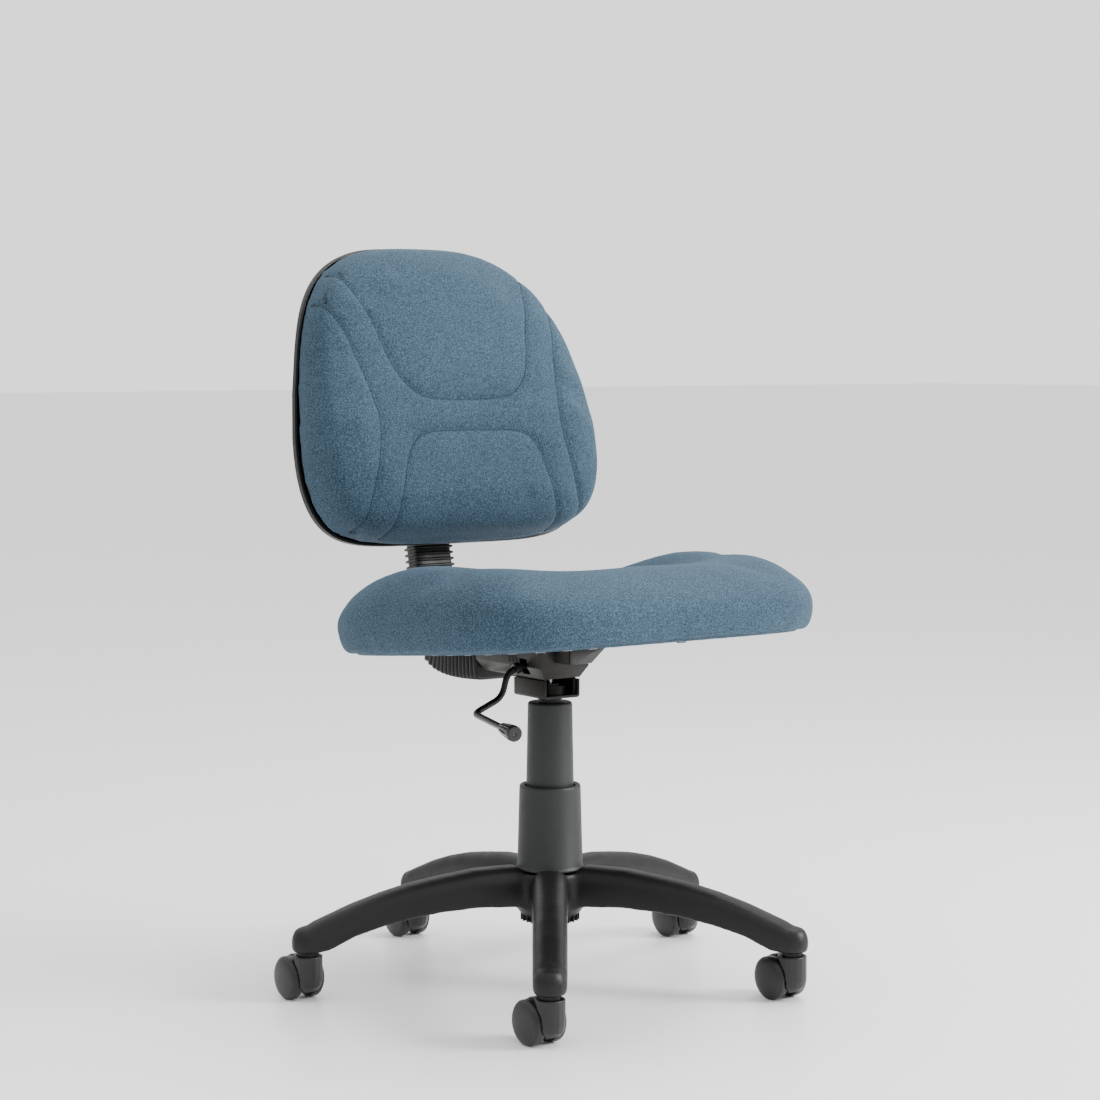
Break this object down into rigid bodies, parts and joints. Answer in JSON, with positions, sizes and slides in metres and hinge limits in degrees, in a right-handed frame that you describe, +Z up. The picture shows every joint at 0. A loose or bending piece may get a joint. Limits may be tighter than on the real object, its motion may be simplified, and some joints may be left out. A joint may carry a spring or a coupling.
{
  "type": "swivel office chair",
  "caption": "Armless task chair with a contoured seat and low back on a gas-lift swivel column, with a lift lever, a tilt mechanism and a star base on castors.",
  "frame": {"origin": "centre of the chair's footprint, on the floor under the castor wheels", "axes": "+Z up; the sitter faces -Y; +X is the sitter's left"},
  "size_m": [0.6014, 0.6178, 0.8771],
  "materials": {
    "nylon": "moulded, fine grain",
    "cover_plastic": "moulded, satin charcoal",
    "shell_plastic": "moulded, leather grain",
    "wheel_plastic": "moulded, smooth",
    "black_paint": "powder-coated black sheet steel",
    "tube_steel": "satin black steel",
    "black_plastic": "moulded, half gloss",
    "zinc": "zinc plated",
    "chrome": "ground and chrome plated",
    "brass": "bright",
    "rubber": "moulded black",
    "plywood": "pressed ply, dark stained underside",
    "fabric": "heathered blue weave over foam"
  },
  "bodies": {
    "base": {"star_base": "nylon", "column_tube": "tube_steel", "guide_bush": "nylon", "thrust_bearing": "zinc", "lower_cover": "cover_plastic"},
    "spindle": {"piston_rod": "chrome", "rod_clip": "zinc"},
    "column": {"gas_cylinder": "zinc", "upper_cover": "cover_plastic", "column_bracket": "black_paint", "tilt_pin": "zinc", "torsion_sleeve": "rubber"},
    "valve": {"valve_button": "zinc"},
    "lever": {"lever_rod": "tube_steel", "lever_collar": "black_plastic", "lever_knob": "black_plastic"},
    "seat": {"tilt_housing": "black_paint", "spring_box": "black_plastic", "seat_board": "plywood", "seat_cushion": "fabric", "seat_bolt_1": "zinc", "seat_bolt_2": "zinc", "seat_bolt_3": "zinc", "seat_bolt_4": "zinc", "j_bar": "black_paint", "clamp_bolt": "zinc", "clamp_nut": "brass", "seat_boot": "rubber"},
    "back": {"back_carriage": "black_paint", "back_board": "plywood", "back_cushion": "fabric", "back_shell": "shell_plastic", "shell_screw_right": "zinc", "shell_screw_left": "zinc", "back_boot": "rubber"},
    "castor_1": {"castor_1_stem": "zinc", "castor_1_hood": "wheel_plastic", "castor_1_axle": "zinc"},
    "castor_1_right": {"castor_1_wheel_right": "wheel_plastic"},
    "castor_1_left": {"castor_1_wheel_left": "wheel_plastic"},
    "castor_2": {"castor_2_stem": "zinc", "castor_2_hood": "wheel_plastic", "castor_2_axle": "zinc"},
    "castor_2_right": {"castor_2_wheel_right": "wheel_plastic"},
    "castor_2_left": {"castor_2_wheel_left": "wheel_plastic"},
    "castor_3": {"castor_3_stem": "zinc", "castor_3_hood": "wheel_plastic", "castor_3_axle": "zinc"},
    "castor_3_right": {"castor_3_wheel_right": "wheel_plastic"},
    "castor_3_left": {"castor_3_wheel_left": "wheel_plastic"},
    "castor_4": {"castor_4_stem": "zinc", "castor_4_hood": "wheel_plastic", "castor_4_axle": "zinc"},
    "castor_4_right": {"castor_4_wheel_right": "wheel_plastic"},
    "castor_4_left": {"castor_4_wheel_left": "wheel_plastic"},
    "castor_5": {"castor_5_stem": "zinc", "castor_5_hood": "wheel_plastic", "castor_5_axle": "zinc"},
    "castor_5_right": {"castor_5_wheel_right": "wheel_plastic"},
    "castor_5_left": {"castor_5_wheel_left": "wheel_plastic"}
  },
  "joints": [
    {"name": "seat_swivel", "type": "hinge", "parent": "base", "child": "spindle", "pos_m": [0, -0.04145, 0.07], "axis": [0, 0, 1], "continuous": true},
    {"name": "seat_lift", "type": "slide", "parent": "spindle", "child": "column", "axis": [0, 0, 1], "range_m": [-0.075, 0.03]},
    {"name": "valve_press", "type": "slide", "parent": "column", "child": "valve", "axis": [0, 0, 1], "range_m": [-0.0023, 0]},
    {"name": "lever_lift", "type": "hinge", "parent": "column", "child": "lever", "pos_m": [-0.021, -0.03545, 0.374], "axis": [0, 1, 0], "range_deg": [0, 6], "stiffness_Nm_per_rad": 4, "springref_deg": -5.73},
    {"name": "seat_tilt", "type": "hinge", "parent": "column", "child": "seat", "pos_m": [0, -0.01145, 0.372], "axis": [-1, 0, 0], "range_deg": [0, 10], "stiffness_Nm_per_rad": 250, "springref_deg": -11.46},
    {"name": "back_height", "type": "slide", "parent": "seat", "child": "back", "axis": [0, 0.1994, 0.9799], "range_m": [0, 0.055], "deforming": ["back_boot"]},
    {"name": "castor_1_swivel", "type": "hinge", "parent": "base", "child": "castor_1", "pos_m": [0, 0.25055, 0.055], "axis": [0, 0, 1], "continuous": true},
    {"name": "castor_1_roll_right", "type": "hinge", "parent": "castor_1", "child": "castor_1_right", "pos_m": [0, 0.27055, 0.025], "axis": [1, 0, 0], "continuous": true},
    {"name": "castor_1_roll_left", "type": "hinge", "parent": "castor_1", "child": "castor_1_left", "pos_m": [0, 0.27055, 0.025], "axis": [1, 0, 0], "continuous": true},
    {"name": "castor_2_swivel", "type": "hinge", "parent": "base", "child": "castor_2", "pos_m": [-0.27771, 0.04878, 0.055], "axis": [0, 0, 1], "continuous": true},
    {"name": "castor_2_roll_right", "type": "hinge", "parent": "castor_2", "child": "castor_2_right", "pos_m": [-0.27771, 0.06878, 0.025], "axis": [1, 0, 0], "continuous": true},
    {"name": "castor_2_roll_left", "type": "hinge", "parent": "castor_2", "child": "castor_2_left", "pos_m": [-0.27771, 0.06878, 0.025], "axis": [1, 0, 0], "continuous": true},
    {"name": "castor_3_swivel", "type": "hinge", "parent": "base", "child": "castor_3", "pos_m": [-0.17163, -0.27768, 0.055], "axis": [0, 0, 1], "continuous": true},
    {"name": "castor_3_roll_right", "type": "hinge", "parent": "castor_3", "child": "castor_3_right", "pos_m": [-0.17163, -0.25768, 0.025], "axis": [1, 0, 0], "continuous": true},
    {"name": "castor_3_roll_left", "type": "hinge", "parent": "castor_3", "child": "castor_3_left", "pos_m": [-0.17163, -0.25768, 0.025], "axis": [1, 0, 0], "continuous": true},
    {"name": "castor_4_swivel", "type": "hinge", "parent": "base", "child": "castor_4", "pos_m": [0.17163, -0.27768, 0.055], "axis": [0, 0, 1], "continuous": true},
    {"name": "castor_4_roll_right", "type": "hinge", "parent": "castor_4", "child": "castor_4_right", "pos_m": [0.17163, -0.25768, 0.025], "axis": [1, 0, 0], "continuous": true},
    {"name": "castor_4_roll_left", "type": "hinge", "parent": "castor_4", "child": "castor_4_left", "pos_m": [0.17163, -0.25768, 0.025], "axis": [1, 0, 0], "continuous": true},
    {"name": "castor_5_swivel", "type": "hinge", "parent": "base", "child": "castor_5", "pos_m": [0.27771, 0.04878, 0.055], "axis": [0, 0, 1], "continuous": true},
    {"name": "castor_5_roll_right", "type": "hinge", "parent": "castor_5", "child": "castor_5_right", "pos_m": [0.27771, 0.06878, 0.025], "axis": [1, 0, 0], "continuous": true},
    {"name": "castor_5_roll_left", "type": "hinge", "parent": "castor_5", "child": "castor_5_left", "pos_m": [0.27771, 0.06878, 0.025], "axis": [1, 0, 0], "continuous": true}
  ],
  "couplings": [
    {"joint": "valve_press", "follows": "lever_lift", "m_per_rad": -0.021}
  ]
}
